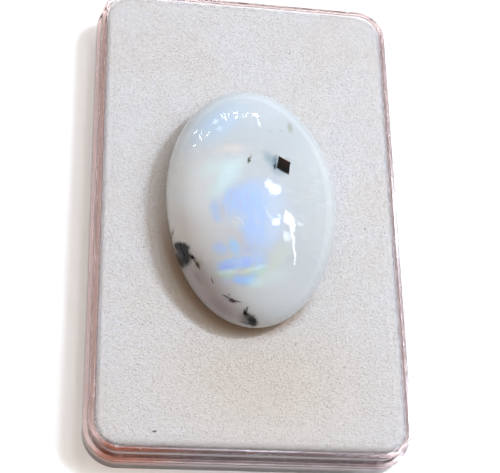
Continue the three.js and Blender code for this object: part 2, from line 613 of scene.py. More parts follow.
def velvet(settings):
    """Short pile in beige and cool grey, darker deep down, with the stone's shadow painted on."""
    material, wiring, shader = new_material("Velvet")
    place = wiring.millimetres()
    y, z = wiring.split(place)[1:]
    patchy = wiring.fade(wiring.noise(place, 0.09, 3.0, 0.6), 0.35, 0.65, 0.0, 0.45)
    worn = pad_mark(wiring, place, (2.0, -30.0), (17.0, 11.0), 0.9)
    ground = wiring.blend(wiring.math("MAXIMUM", worn, patchy), settings.cool, settings.warm)
    flecks = wiring.fade(wiring.noise(place, 1.3, 3.0, 0.65), 0.3, 0.7, 0.88, 1.12)
    tuft = wiring.node("Attribute", {}, "Fac", attribute_name="shade")
    level = wiring.math("MULTIPLY", flecks, wiring.fade(tuft, 0.0, 1.0, 0.75, 1.0))
    # Painted shadow of the stone: an oval round it, kept to its near left side, turns the pile brown.
    half = (STONE_WIDTH / 2 / MM + 0.7, STONE_LENGTH / 2 / MM + 0.7)
    stone_shadow_oval = pad_mark(wiring, place, STONE_MIDDLE / MM, half, 0.045)
    shadow_side = wiring.fade(wiring.dot(place, (-0.45, -0.89, 0.0)), 6.0, 15.0, 0.0, 0.7)
    uneven = wiring.wander(place, 0.5, 2.0)
    edge = PAD_LOW.y / MM
    top = PAD_HIGH.z / MM
    colour = wiring.cover(
        settings.shade,
        (wiring.fade(level, 0.5, 1.0), ground),
        (wiring.math("MULTIPLY", stone_shadow_oval, shadow_side), settings.painted_shade),
        *((pad_mark(wiring, uneven, speck[:2], speck[2:], 0.5), settings.grit) for speck in GRIT),
        # Painted shade along the near edge.
        (wiring.fade(y, edge + 1.5, edge + 0.5, 0.0, 0.5), settings.hem),
        # The board's own colour on the pad's sides, laid on dark as painted shade in the gap by the lip.
        (wiring.fade(z, top - 1.0, top - 1.6), settings.board),
    )
    fluff = wiring.noise(wiring.millimetres(0.9, (4.0, 1.5, 3.0)), 1.6, 3.0)
    finish = {
        "Base Color": colour,
        "Roughness": 0.95,
        "Specular IOR Level": 0.2,
        "Sheen Weight": 0.15,
        "Sheen Roughness": 0.4,
        "Normal": wiring.bump(fluff, 0.012 * MM),
    }
    wiring.feed(shader, finish)
    return material


class GEMBOX_OT_pad(bpy.types.Operator):
    """Model the padded block that fills the tray"""

    bl_idname = "gembox.pad"
    bl_label = "Velvet pad"

    def execute(self, context):
        settings = context.scene.gembox_pad
        pad = model_pad(settings)
        stuff(pad, settings.swell)
        apply_modifier(pad, "SUBSURF", levels=1, render_levels=1, subdivision_type="SIMPLE")
        square_up(pad, PAD_HIGH.z - settings.pile_depth - 0.05 * MM)
        activate(pad)
        bpy.ops.object.shade_smooth()
        dress(pad, velvet(settings), "velvet", "velvet_pad")
        return {"FINISHED"}


# ---- The pile on the pad ----

# No tuft stands inside this share of the stone's outline.
BARE_SHARE = 0.86
# The denser fringe along the pad's outline, and how far past it a tuft may reach.
FRINGE = 0.6 * MM
OVERHANG = 0.18 * MM
# The two layers of tufts: name, share of the length, lift and seed.
LAYERS = (
    ("pile_under", 0.8, 0.25, 11),
    ("pile_over", 1.0, 0.35, 37),
)


def way_out(x, y):
    """The way to the nearest edge of the pad from each place."""
    step = 0.05 * MM
    out_x = pad_margin(x - step, y) - pad_margin(x + step, y)
    out_y = pad_margin(x, y - step) - pad_margin(x, y + step)
    reach = np.maximum(np.hypot(out_x, out_y), 1e-9)
    return out_x / reach, out_y / reach


def stone_outline(turn):
    """The stone's half width in each direction, turned from its long axis."""
    a = STONE_LENGTH / 2
    b = STONE_WIDTH / 2
    ellipse = a * b / np.hypot(b * np.cos(turn), a * np.sin(turn))
    lopsided = np.cos(3 * (turn - STONE_LOPSIDED_TURN))
    return ellipse * (1 - STONE_LOPSIDED_SHARE * lopsided)


def stone_reach(x, y):
    """Each place's distance from the stone's axis, as a share of its outline."""
    away_x = x - STONE_MIDDLE.x
    away_y = y - STONE_MIDDLE.y
    turn = np.arctan2(away_x, away_y) + STONE_TURN
    return np.hypot(away_x, away_y) / stone_outline(turn)


def waves(x, y, size, seed):
    """Slow random waves over the pad, from about -1 to 1."""
    chance = np.random.default_rng(seed)
    total = np.zeros_like(x)
    for _ in range(6):
        heading = chance.uniform(0, 2 * math.pi)
        stride = size * chance.uniform(0.6, 1.6)
        phase = chance.uniform(0, 2 * math.pi)
        along = x * math.cos(heading) + y * math.sin(heading)
        total += np.sin(2 * math.pi * along / stride + phase)
    return total / 3.5


def scatter(count, chance):
    """Places for the tufts: even over the pad, a fringe, and none under the stone."""
    half = (PAD_HIGH - PAD_LOW) / 2
    hidden = 0.8 * math.pi * STONE_LENGTH * STONE_WIDTH / 4
    spacing = math.sqrt((4 * half.x * half.y - hidden) / count)
    xs = np.arange(-half.x, half.x, spacing)
    ys = np.arange(-half.y, half.y, spacing)
    x, y = (grid.ravel() for grid in np.meshgrid(xs, ys))
    x = x + chance.uniform(-0.6, 0.6, x.size) * spacing
    y = y + chance.uniform(-0.6, 0.6, y.size) * spacing
    ragged = (0.06 + 0.12 * waves(x, y, 2.2 * MM, 5)) * MM
    keep = (pad_margin(x, y) > ragged) & (stone_reach(x, y) > BARE_SHARE)
    x, y = x[keep], y[keep]
    order = chance.permutation(x.size)[:count]
    edge_x = chance.uniform(-half.x, half.x, 2 * count)
    edge_y = chance.uniform(-half.y, half.y, 2 * count)
    margin = pad_margin(edge_x, edge_y)
    fringe = (margin > 0) & (margin < FRINGE)
    return np.append(x[order], edge_x[fringe]), np.append(y[order], edge_y[fringe])


def ground_under(ground, x, y):
    """The pad's surface under each place: its height and its normal."""
    height = np.full(x.size, PAD_LOW.z)
    normal = np.tile((0.0, 0.0, 1.0), (x.size, 1))
    start_z = PAD_HIGH.z + 5 * MM
    for i in range(x.size):
        place, facing, _, _ = ground.ray_cast((x[i], y[i], start_z), (0, 0, -1))
        if place is not None:
            height[i] = place.z
            normal[i] = facing
    return height, normal


def unit(rows):
    """Each row of x, y and z at a length of one."""
    return rows / np.linalg.norm(rows, axis=1, keepdims=True)


def model_tuft():
    """One tuft, a metre long and a metre wide, as (points, triangles)."""
    add = bpy.ops.mesh.primitive_cone_add
    tuft = new_primitive("tuft", add, vertices=3, radius1=0.5, radius2=0, depth=1, location=(0, 0, 0.5))
    points = points_of(tuft.data)
    triangles = np.array([list(face.vertices) for face in tuft.data.polygons])
    bpy.data.objects.remove(tuft, do_unlink=True)
    return points, triangles


def pile_piece(name, points, faces, up, shades):
    """The piece for one layer, from its points and faces, shaded partly as the pad is."""
    mesh = bpy.data.meshes.new(name)
    mesh.vertices.add(len(points))
    mesh.vertices.foreach_set("co", points.ravel())
    mesh.loops.add(faces.size)
    mesh.loops.foreach_set("vertex_index", faces.ravel())
    mesh.polygons.add(len(faces))
    mesh.polygons.foreach_set("loop_start", np.arange(0, faces.size, 3))
    mesh.polygons.foreach_set("use_smooth", np.ones(len(faces), bool))
    mesh.update(calc_edges=True)
    mesh.validate()
    own = np.empty(points.size)
    mesh.vertex_normals.foreach_get("vector", own)
    mesh.normals_split_custom_set_from_vertices(unit(0.4 * own.reshape(-1, 3) + 0.6 * up))
    shade = mesh.attributes.new("shade", "FLOAT", "POINT")
    shade.data.foreach_set("value", shades)
    pile = bpy.data.objects.new(name, mesh)
    bpy.context.scene.collection.objects.link(pile)
    return pile


def lay_pile(name, settings, ground, depth, lift, seed):
    """One layer of tufts, brushed one way, as a single mesh."""
    chance = np.random.default_rng(seed)
    x, y = scatter(settings.fibres, chance)
    count = x.size
    height, up = ground_under(ground, x, y)
    swirl = 0.35 * waves(x, y, 9 * MM, seed + 1) + chance.normal(0, 0.5, count)
    heading = settings.nap_turn + swirl
    fray = edge_fall(x, y) * chance.uniform(0.0, 0.9, count)
    out_x, out_y = way_out(x, y)
    heading = np.arctan2(np.sin(heading) + fray * out_y, np.cos(heading) + fray * out_x)
    foot = np.clip(1 - np.abs(stone_reach(x, y) - 0.9) / 0.05, 0, 1)
    rise = lift + chance.normal(0, 0.05, count) + 0.05 * waves(x, y, 5 * MM, seed + 2)
    rise = (np.clip(rise, 0.03, 0.8) + 0.7 * foot)[:, None]
    size = settings.fibre_length * depth * chance.uniform(0.7, 1.3, count)
    for _ in range(3):
        tip_margin = pad_margin(x + size * np.cos(heading), y + size * np.sin(heading))
        size = np.where(tip_margin < -OVERHANG, size * 0.6, size)
    width = (settings.fibre_width * chance.uniform(0.7, 1.25, count))[:, None]
    flat = np.stack([np.cos(heading), np.sin(heading), np.zeros(count)], axis=1)
    flat = unit(flat - up * np.sum(flat * up, axis=1, keepdims=True))
    along = flat * np.cos(rise) + up * np.sin(rise)
    side = np.cross(up, flat)
    over = np.cross(along, side)
    spin = chance.normal(0, 0.5, count)[:, None]
    first = side * np.cos(spin) + over * np.sin(spin)
    second = over * np.cos(spin) - side * np.sin(spin)
    held = PAD_HIGH.z - settings.pile_depth - PAD_EDGE_DROP
    roots = np.stack([x, y, np.maximum(height, held) - 0.02 * MM], axis=1)
    shape, triangles = model_tuft()
    points = roots[:, None, :]
    for axis, reach in enumerate((width * first, 0.3 * width * second, size[:, None] * along)):
        points = points + shape[None, :, axis, None] * reach[:, None, :]
    faces = triangles + np.arange(count)[:, None, None] * len(shape)
    shades = np.clip(chance.normal(0.8, 0.15, count), 0.1, 1)
    base_to_tip = np.where(shape[:, 2] > 0.5, 1.0, 0.75)
    shades = (shades[:, None] * base_to_tip).ravel()
    up = np.repeat(up, len(shape), axis=0)
    return pile_piece(name, points.reshape(-1, 3), faces.reshape(-1, 3), up, shades)


class GEMBOX_OT_pile(bpy.types.Operator):
    """Lay the two layers of pile on the pad"""

    bl_idname = "gembox.pile"
    bl_label = "Pile"

    def execute(self, context):
        settings = context.scene.gembox_pad
        graph = context.evaluated_depsgraph_get()
        ground = BVHTree.FromObject(bpy.data.objects["pad_block"], graph)
        for name, *layer in LAYERS:
            pile = lay_pile(name, settings, ground, *layer)
            dress(pile, bpy.data.materials["Velvet"], "velvet")
        return {"FINISHED"}


# ---- The moonstone ----

DOME_RINGS = 44
BASE_RINGS = 8
STONE_SIDES = 120


def dome_height(x, y):
    """Height of the stone's dome over a place, all in millimetres."""
    share = min(stone_reach(x * MM, y * MM), 0.9995)
    girdle = STONE_LOW.z + bpy.context.scene.gembox_stone.girdle
    rise = math.sqrt(1 - share**STONE_FULLNESS)
    return (girdle + (STONE_HIGH.z - girdle) * rise) / MM


def stone_section(settings, radius, height):
    """The stone's section from its top to the middle of its base: (reach, height) pairs."""
    girdle = settings.girdle
    section = []
    for ring in range(DOME_RINGS + 1):
        fall = math.sin(ring / DOME_RINGS * math.pi / 2)
        rise = math.sqrt(1 - fall**STONE_FULLNESS)
        section.append((radius * fall, girdle + (height - girdle) * rise))
    for ring in range(1, BASE_RINGS + 1):
        angle = ring / BASE_RINGS * math.pi / 2
        inset = settings.base_inset * (1 - math.cos(angle))
        section.append((radius - inset, girdle * (1 - math.sin(angle))))
    return section + [(radius * 0.6, 0.0), (0.0, 0.0)]


def model_stone(settings):
    """The cabochon: its section is turned round and then made oval."""
    height = STONE_HIGH.z - STONE_LOW.z
    radius = STONE_LENGTH / 2
    section = stone_section(settings, radius, height)
    add = bpy.ops.mesh.primitive_plane_add
    stone = new_primitive("stone_body", add, size=radius, location=(0, 0, STONE_LOW.z + height))
    bpy.ops.object.mode_set(mode="EDIT")
    bpy.ops.mesh.select_mode(type="VERT")
    bpy.ops.mesh.select_all(action="SELECT")
    bpy.ops.mesh.merge(type="CENTER")
    for (x0, z0), (x1, z1) in zip(section, section[1:]):
        step = (x1 - x0, 0, z1 - z0)
        bpy.ops.mesh.extrude_vertices_move(TRANSFORM_OT_translate={"value": step})
    bpy.ops.mesh.select_all(action="SELECT")
    bpy.ops.mesh.spin(steps=STONE_SIDES, angle=2 * math.pi, center=(0, 0, 0), axis=(0, 0, 1))
    bpy.ops.mesh.select_all(action="SELECT")
    bpy.ops.mesh.remove_doubles(threshold=0.001 * MM)
    bpy.ops.mesh.normals_make_consistent(inside=False)
    bpy.ops.object.mode_set(mode="OBJECT")
    points = points_of(stone.data)
    reach = np.hypot(points[:, 0], points[:, 1])
    turn = np.arctan2(points[:, 0], points[:, 1])
    under = points[:, 2] < STONE_LOW.z + settings.girdle - 1e-7
    inset = np.where(under & (reach > 0.7 * radius), radius - reach, 0.0)
    reach = (reach + inset) / radius * stone_outline(turn) - inset
    points[:, 0] = STONE_MIDDLE.x + reach * np.sin(turn - STONE_TURN)
    points[:, 1] = STONE_MIDDLE.y + reach * np.cos(turn - STONE_TURN)
    set_points(stone.data, points)
    apply_modifier(stone, "SUBSURF", levels=1, render_levels=1)
    activate(stone)
    bpy.ops.object.shade_smooth()
    return stone


def mark_axes(x, y, half_length, half_width, turn, lean):
    """A mark's centre, its two axes on the dome and its way in; degrees and millimetres."""
    step = 0.05
    slope_x = (dome_height(x + step, y) - dome_height(x - step, y)) / (2 * step)
    slope_y = (dome_height(x, y + step) - dome_height(x, y - step)) / (2 * step)
    normal = Vector((-slope_x, -slope_y, 1.0)).normalized()
    level = Vector((1, 0, 0))
    right = (level - normal * level.dot(normal)).normalized()
    up = normal.cross(right)
    turn = math.radians(turn)
    second_turn = turn + math.radians(90 + lean)
    first = half_length * (right * math.cos(turn) + up * math.sin(turn))
    second = half_width * (right * math.cos(second_turn) + up * math.sin(second_turn))
    along = second.cross(normal)
    across = normal.cross(first)
    inwards = -normal / (6 + half_length / 2)
    centre = (x, y, dome_height(x, y))
    return centre, along / first.dot(along), across / second.dot(across), inwards


# Marks in the stone: name, x and y of the centre, half length and half width,
# all in millimetres, the turn in degrees, softness, the way the edge wanders
# ("still", "wavy" or "ragged"), colour and strength.
ZONES = (
    ("far end", -3.44, 14.18, 10.92, 9.95, 3, 0.8, "wavy", "sky", 0.55),
    ("near end", 2.16, -19.64, 10.28, 9.16, -46, 0.8, "wavy", "haze", 0.8),
    ("right side", 7.21, -5.93, 12.89, 5.27, 87, 0.9, "wavy", "haze", 0.5),
    ("upper right", 6.23, 10.03, 7.79, 3.77, 58, 0.9, "wavy", "haze", 0.75),
    ("far sheen", -7.47, 11.27, 5.18, 2.52, 43, 0.9, "wavy", "bright sky", 0.75),
    ("sheen core", -5.71, 10.51, 1.97, 0.9, 48, 0.9, "ragged", "bright sky", 0.6),
    ("left pale", -11.0, -0.68, 5.1, 3.93, -69, 0.9, "wavy", "pale", 0.45),
    ("left sheen", -12.28, -1.81, 2.44, 0.91, -22, 0.9, "wavy", "bright sky", 0.45),
    ("warm veil", -9.76, -8.53, 6.76, 3.4, -26, 0.4, "wavy", "veil", 0.5),
    ("left milk", -11.35, -2.77, 8.34, 5.1, -82, 1.0, "wavy", "light milk", 0.75),
    ("low milk", 0.76, -18.43, 6.58, 3.63, 1, 1.0, "wavy", "light milk", 0.3),
    ("veil heart", -11.61, -7.22, 4.08, 2.04, -26, 0.9, "wavy", "veil", 0.35),
    ("peach", -4.6, 5.87, 2.38, 0.89, 5, 1.0, "wavy", "peach", 0.42),
    ("grey cloud", 2.07, 8.02, 4.77, 2.09, 6, 1.0, "wavy", "haze", 0.35),
    ("lilac", -8.46, -17.07, 6.23, 2.19, -21, 0.8, "wavy", "lilac", 0.7),
    ("lilac heart", -4.97, -20.37, 3.61, 2.06, -9, 0.8, "wavy", "lilac", 0.7),
    ("lilac left", -9.73, -14.42, 2.54, 1.21, -44, 0.8, "wavy", "lilac", 0.55),
    ("mauve streak", -9.66, -15.21, 1.05, 0.41, -40, 0.9, "wavy", "mauve", 0.4),
    ("mauve cloud", -6.07, -19.67, 1.94, 1.02, -14, 0.9, "ragged", "mauve", 0.45),
    ("cyan glow", -5.79, 0.33, 3.38, 1.36, 58, 0.9, "wavy", "cyan", 0.95),
    ("cyan upper", -7.54, 2.28, 2.85, 1.41, 11, 1.0, "wavy", "cyan", 0.5),
    ("flash halo", -1.24, -5.27, 5.66, 5.21, 69, 0.9, "wavy", "pale blue", 0.5),
    ("flash right", 1.22, -4.81, 4.12, 2.03, 77, 0.8, "wavy", "pale blue", 0.7),
    ("flash top", -1.89, -2.54, 2.91, 2.51, 3, 0.5, "wavy", "flash", 0.8),
    ("flash heart", -1.65, -6.14, 3.28, 2.39, 86, 0.45, "wavy", "flash", 0.85),
    ("flash low", -0.9, -9.7, 2.26, 1.95, -15, 0.6, "wavy", "flash", 0.75),
    ("flash shoulder", -5.03, -3.89, 2.36, 1.69, 75, 0.6, "wavy", "flash", 0.8),
    ("flash lobe", -7.56, -4.99, 1.55, 0.78, -83, 0.8, "ragged", "flash", 0.75),
    ("lobe foot", -7.1, -6.46, 0.85, 0.6, -78, 0.7, "ragged", "flash", 0.5),
    ("left gap", -6.42, -5.57, 1.14, 0.45, -80, 0.9, "ragged", "pearl", 0.5),
    ("upper gap", -4.17, -7.37, 0.78, 0.67, 76, 0.7, "ragged", "pale", 0.5),
    ("lower gap", -3.41, -10.3, 1.29, 0.61, -68, 0.8, "ragged", "pearl", 0.5),
    ("gap edge", -4.67, -9.07, 1.34, 0.68, -31, 0.9, "ragged", "veil", 0.4),
    ("curl top", -3.78, -6.74, 0.49, 0.1, -33, 0.8, "still", "gleam", 0.75),
    ("curl end", -3.21, -7.55, 0.47, 0.11, -84, 0.8, "still", "gleam", 0.65),
    ("flash side", 1.75, -8.43, 2.49, 1.29, 71, 0.8, "wavy", "pale blue", 0.6),
    ("violet", -2.39, -12.07, 1.06, 0.83, 3, 0.8, "ragged", "violet", 0.45),
    ("low haze", -3.02, -12.79, 3.44, 1.2, 6, 0.8, "wavy", "pale blue", 0.4),
    ("blue patch", -6.61, -11.47, 1.29, 0.88, -13, 0.8, "ragged", "flash", 0.85),
    ("cyan patch", -4.47, -11.27, 1.35, 0.69, -65, 0.7, "ragged", "clear blue", 0.9),
    ("band", -4.28, -13.97, 2.77, 0.87, 11, 0.4, "ragged", "band blue", 0.95),
    ("band end", -5.51, -14.4, 1.04, 0.53, 12, 1.0, "ragged", "deep blue", 0.65),
    ("band streak", -3.9, -13.64, 1.98, 0.13, 14, 1.0, "wavy", "pale blue", 0.6),
    ("band tip", -2.46, -13.79, 0.73, 0.61, 14, 1.0, "ragged", "deep blue", 0.4),
    ("band veil", -4.28, -13.91, 0.92, 0.27, 14, 0.9, "ragged", "lavender", 0.35),
    ("band side", -0.55, -13.38, 1.27, 1.07, 89, 0.9, "ragged", "flash", 0.75),
    ("side glow", -0.18, -14.32, 1.08, 0.45, 23, 0.9, "ragged", "clear blue", 0.5),
    ("cyan line", -5.37, -15.14, 1.48, 0.45, 9, 0.9, "ragged", "cyan", 0.7),
    ("cyan bar", -1.1, -14.73, 1.74, 0.34, 17, 0.9, "ragged", "cyan", 0.7),
    ("mint one", -5.2, -15.76, 1.14, 0.45, 0, 0.9, "ragged", "mint", 0.6),
    ("lime", -2.39, -15.37, 0.93, 0.4, 27, 0.9, "ragged", "lime", 0.5),
    ("mint two", -0.28, -15.2, 1.07, 0.48, 15, 0.9, "ragged", "mint", 0.6),
    ("lower patch", -3.12, -16.4, 1.39, 0.73, -3, 0.6, "ragged", "strong blue", 0.9),
    ("lower side", -1.62, -16.29, 0.99, 0.87, 32, 0.8, "ragged", "clear blue", 0.85),
    ("lower cyan", -0.73, -16.74, 1.06, 0.66, 22, 0.9, "ragged", "cyan", 0.55),
    ("lower mist", -5.16, -16.42, 1.07, 0.66, 5, 0.9, "ragged", "lavender", 0.35),
    ("right glow", 2.51, -13.02, 3.17, 0.95, 59, 1.0, "wavy", "leaf", 0.35),
    ("right mint", 1.53, -16.0, 2.59, 1.06, 22, 1.0, "wavy", "cyan", 0.3),
)
CRYSTALS = (
    ("crystal halo", 1.56, 4.08, 1.49, 0.78, -58, 0.9, "ragged", "mist", 0.75),
    ("halo foot", 2.63, 1.89, 1.19, 0.53, -25, 0.9, "ragged", "mist", 0.55),
    ("halo core", 2.33, 4.09, 0.91, 0.38, 74, 0.9, "ragged", "slate blue", 0.75),
    ("crystal", 3.78, 3.32, 1.15, 1.22, -24.4, 0.08, "still", "ink", 1.0),
    ("crystal steel", 3.49, 2.07, 0.89, 0.13, -25, 0.8, "still", "steel", 0.8),
    ("crystal left", 2.73, 3.45, 0.9, 0.11, 75, 0.8, "still", "steel", 0.7),
    ("crystal rust", 4.19, 3.84, 0.68, 0.65, 11, 0.9, "ragged", "rust", 0.6),
    ("crystal line", 4.89, 3.18, 0.82, 0.07, 82, 0.7, "still", "gleam", 0.75),
    ("crystal top", 4.14, 4.49, 0.83, 0.08, -24, 0.8, "still", "peach", 0.5),
    ("edge sliver", -13.75, -7.2, 0.8, 0.2, 80, 0.6, "ragged", "moss", 0.7),
    ("crystal blot", 2.26, 2.91, 0.61, 0.24, 82, 0.7, "ragged", "steel", 1.0),
    ("speck", -2.1, 3.65, 0.48, 0.24, 76, 0.6, "ragged", "moss", 0.9),
    ("speck tail", -1.84, 4.24, 0.48, 0.12, 71, 0.7, "ragged", "moss", 0.55),
    ("olive", 5.45, 11.49, 1.17, 0.47, 90, 0.7, "ragged", "olive", 0.5),
    ("teal one", 3.67, 10.33, 0.39, 0.28, 53, 0.9, "ragged", "teal", 0.4),
    ("teal two", 1.79, 9.76, 0.38, 0.3, 39, 0.9, "ragged", "teal", 0.35),
    ("left smoke", -12.42, -11.04, 2.07, 1.63, 13, 0.7, "ragged", "slate", 0.8),
    ("left black", -12.03, -10.92, 2.06, 1.36, -29, 0.3, "ragged", "ink", 1.0),
    ("left cap", -12.51, -9.68, 2.18, 0.74, 10, 0.3, "ragged", "ink", 1.0),
    ("left foot", -12.34, -11.34, 2.05, 1.25, 44, 0.4, "ragged", "ink", 1.0),
    ("left grain", -12.65, -10.41, 1.06, 0.63, 22, 0.9, "ragged", "slate", 0.45),
    ("dash one", -10.73, -11.98, 0.68, 0.3, -19, 0.6, "ragged", "ink", 1.0),
    ("dash link", -10.39, -12.6, 0.24, 0.12, -45, 0.7, "ragged", "moss", 0.8),
    ("dash two", -9.89, -13.31, 0.71, 0.27, -50, 0.6, "ragged", "ink", 1.0),
    ("dash shade", -9.65, -13.14, 0.62, 0.49, -24, 0.9, "ragged", "olive", 0.45),
    ("thin dash", -7.58, -16.08, 0.52, 0.09, -58, 0.7, "still", "ink", 0.85),
    ("arc start", -5.24, -18.55, 0.71, 0.1, -17, 0.7, "still", "ink", 0.95),
    ("arc middle", -4.27, -19.16, 0.63, 0.32, -12, 0.6, "ragged", "rust", 0.95),
    ("arc speck", -4.95, -18.3, 0.19, 0.12, 11, 0.8, "ragged", "slate", 0.8),
    ("arc mist", -4.99, -18.9, 0.68, 0.27, -20, 0.9, "ragged", "slate", 0.35),
    ("arc end", -3.49, -19.32, 0.59, 0.08, -8, 0.7, "still", "ink", 0.95),
    ("near smoke", -1.38, -21.64, 1.45, 1.02, -43, 0.8, "ragged", "slate", 0.9),
    ("near tip", -1.84, -20.34, 0.39, 0.15, -78, 0.6, "ragged", "ink", 0.95),
    ("near top", -2.07, -20.82, 0.68, 0.36, -76, 0.5, "ragged", "ink", 1.0),
    ("near moss", -1.6, -21.2, 0.46, 0.42, -76, 0.7, "ragged", "moss", 0.85),
    ("near foot", -0.87, -21.6, 0.91, 0.64, -74, 0.5, "ragged", "ink", 1.0),
    ("near hem", -0.46, -21.9, 1.01, 0.62, -82, 0.6, "ragged", "ink", 1.0),
    ("near line", -1.5, -21.85, 1.22, 0.27, -4, 0.8, "ragged", "ink", 0.5),
)
# How square a mark is, from 0 to 1, and how far its second axis leans, in degrees.
SQUARENESS = {"warm veil": 0.3, "band": 0.6, "crystal": 1.0, "olive": 0.2}
LEANS = {"crystal": 12.9}
MARK_COLOURS = {
    "pale": (0.76, 0.775, 0.78),
    "pale blue": (0.6, 0.73, 0.94),
    "bright sky": (0.55, 0.72, 0.92),
    "peach": (0.92, 0.82, 0.78),
    "lilac": (0.46, 0.43, 0.47),
    "cyan": (0.71, 0.93, 0.97),
    "lavender": (0.54, 0.61, 0.92),
    "leaf": (0.7, 0.79, 0.68),
    "slate": (0.16, 0.18, 0.2),
    "mist": (0.3, 0.42, 0.5),
    "steel": (0.035, 0.05, 0.065),
    "slate blue": (0.12, 0.19, 0.25),
    "gleam": (0.8, 0.86, 0.97),
    "pearl": (0.64, 0.6, 0.65),
    "violet": (0.45, 0.48, 0.82),
    "band blue": (0.45, 0.65, 1.0),
    "deep blue": (0.33, 0.43, 0.95),
    "clear blue": (0.42, 0.68, 0.97),
    "strong blue": (0.38, 0.62, 1.0),
    "mint": (0.52, 0.8, 0.7),
    "light milk": (0.82, 0.88, 0.93),
    "lime": (0.64, 0.74, 0.54),
    "mauve": (0.25, 0.2, 0.23),
    "moss": (0.05, 0.05, 0.02),
    "olive": (0.32, 0.33, 0.22),
    "teal": (0.3, 0.5, 0.5),
    "rust": (0.035, 0.014, 0.012),
}
# The colours that are streaked along the sheets in the stone.
STREAKED = ("flash", "pale blue", "cyan", "clear blue")


def polished_moonstone(settings):
    """Milky feldspar with a blue flash, black crystals and a high polish."""
    material, wiring, shader = new_material("Moonstone")
    place = wiring.millimetres()
    wavy = wiring.wander(place, 1.5, 0.35, 2.0)
    places = {"still": place, "wavy": wavy, "ragged": wiring.wander(place, 0.75, 2.6, 3.0, 0.6)}
    sheets = wiring.noise(wiring.millimetres(0.15, (1.0, 0.4, 1.0)), 0.8, 4.0, 0.6)
    wisps = wiring.noise(wiring.millimetres(-0.6, (0.5, 1.4, 1.0)), 0.7, 5.0, 0.6)
    streaks = wiring.noise(wiring.millimetres(0.12, (1.3, 0.3, 1.0)), 1.0, 3.0)
    streaky = wiring.fade(streaks, 0.3, 0.6, 0.82, 1.0)
    mottle = wiring.fade(wiring.noise(place, 2.2, 4.0, 0.65), 0.35, 0.65, 0.78, 1.12)
    # The lower left flank, away from the lamps, where brown is painted on as shade next to the pad.
    flank = wiring.dot(wavy, (-0.75, -0.66, 0.0))

    colours = dict(MARK_COLOURS)
    for name in ("sky", "haze", "veil", "ink"):
        colours[name] = getattr(settings, name)
    colours["flash"] = wiring.cover(
        settings.flash,
        (wiring.fade(sheets, 0.5, 0.68, 0.0, 0.55), colours["pale blue"]),
        (wiring.fade(sheets, 0.46, 0.32, 0.0, 0.6), colours["lavender"]),
    )
    colour = wiring.cover(
        settings.milk,
        (wiring.fade(wiring.noise(place, 0.16, 3.0, 0.55), 0.35, 0.7, 0.0, 0.35), settings.haze),
        (wiring.fade(wisps, 0.48, 0.7, 0.0, 0.65), colours["pale"]),
        (wiring.fade(wiring.noise(place, 1.1, 4.0, 0.7), 0.42, 0.68, 0.0, 0.3), settings.haze),
        (wiring.fade(flank, 13.4, 16.6, 0.0, 0.8), settings.painted_shade),
    )
    for mark in ZONES + CRYSTALS:
        name, x, y, reach, width, turn, soft, edge, shade, share = mark
        axes = mark_axes(x, y, reach, width, turn, LEANS.get(name, 0.0))
        mask = wiring.mark(places[edge], *axes, SQUARENESS.get(name, 0.0), soft)
        share = wiring.math("MULTIPLY", mask, share)
        if edge == "ragged" and mark in ZONES:
            share = wiring.math("MULTIPLY", share, mottle)
        if shade in STREAKED:
            share = wiring.math("MULTIPLY", share, streaky)
        colour = wiring.blend(share, colour, colours[shade])

    # Painted glow: where the stone is bluest it gives out a faint blue light, standing in for the light
    # its layers send back.
    red, _, blue = wiring.node("SeparateColor", {0: colour}).node.outputs
    lit = wiring.fade(wiring.math("SUBTRACT", blue, red), 0.3, 0.6)
    facets = wiring.bump(wiring.noise(place, 0.3, 1.0), 0.3 * settings.waviness)
    ripples = wiring.noise(place, 1.4, 2.0)
    finish = {
        "Base Color": colour,
        "Roughness": 0.05,
        "IOR": 1.53,
        "Specular IOR Level": 0.24,
        "Subsurface Weight": 0.2,
        "Subsurface Radius": (1.0, 0.9, 0.8),
        "Subsurface Scale": 1.5 * MM,
        "Emission Color": wiring.blend(lit, (0.0, 0.0, 0.0), settings.glow),
        "Emission Strength": 1.0,
        "Normal": wiring.bump(ripples, 0.12 * settings.waviness, Normal=facets),
    }
    wiring.feed(shader, finish)
    return material


class GEMBOX_OT_stone(bpy.types.Operator):
    """Model and paint the moonstone"""

    bl_idname = "gembox.stone"
    bl_label = "Moonstone"

    def execute(self, context):
        settings = context.scene.gembox_stone
        stone = model_stone(settings)
        dress(stone, polished_moonstone(settings), "moonstone", "moonstone")
        return {"FINISHED"}


# ---- The stage ----

CAMERA_PLACE = Vector((-36.719, -93.672, 201.114)) * MM
CAMERA_FORWARD = Vector((0.17009, 0.41170, -0.89531))
CAMERA_UP = Vector((-0.05704, 0.91114, 0.40814))
CAMERA_LENS = 92.21
LAMP_DISTANCE = 0.6

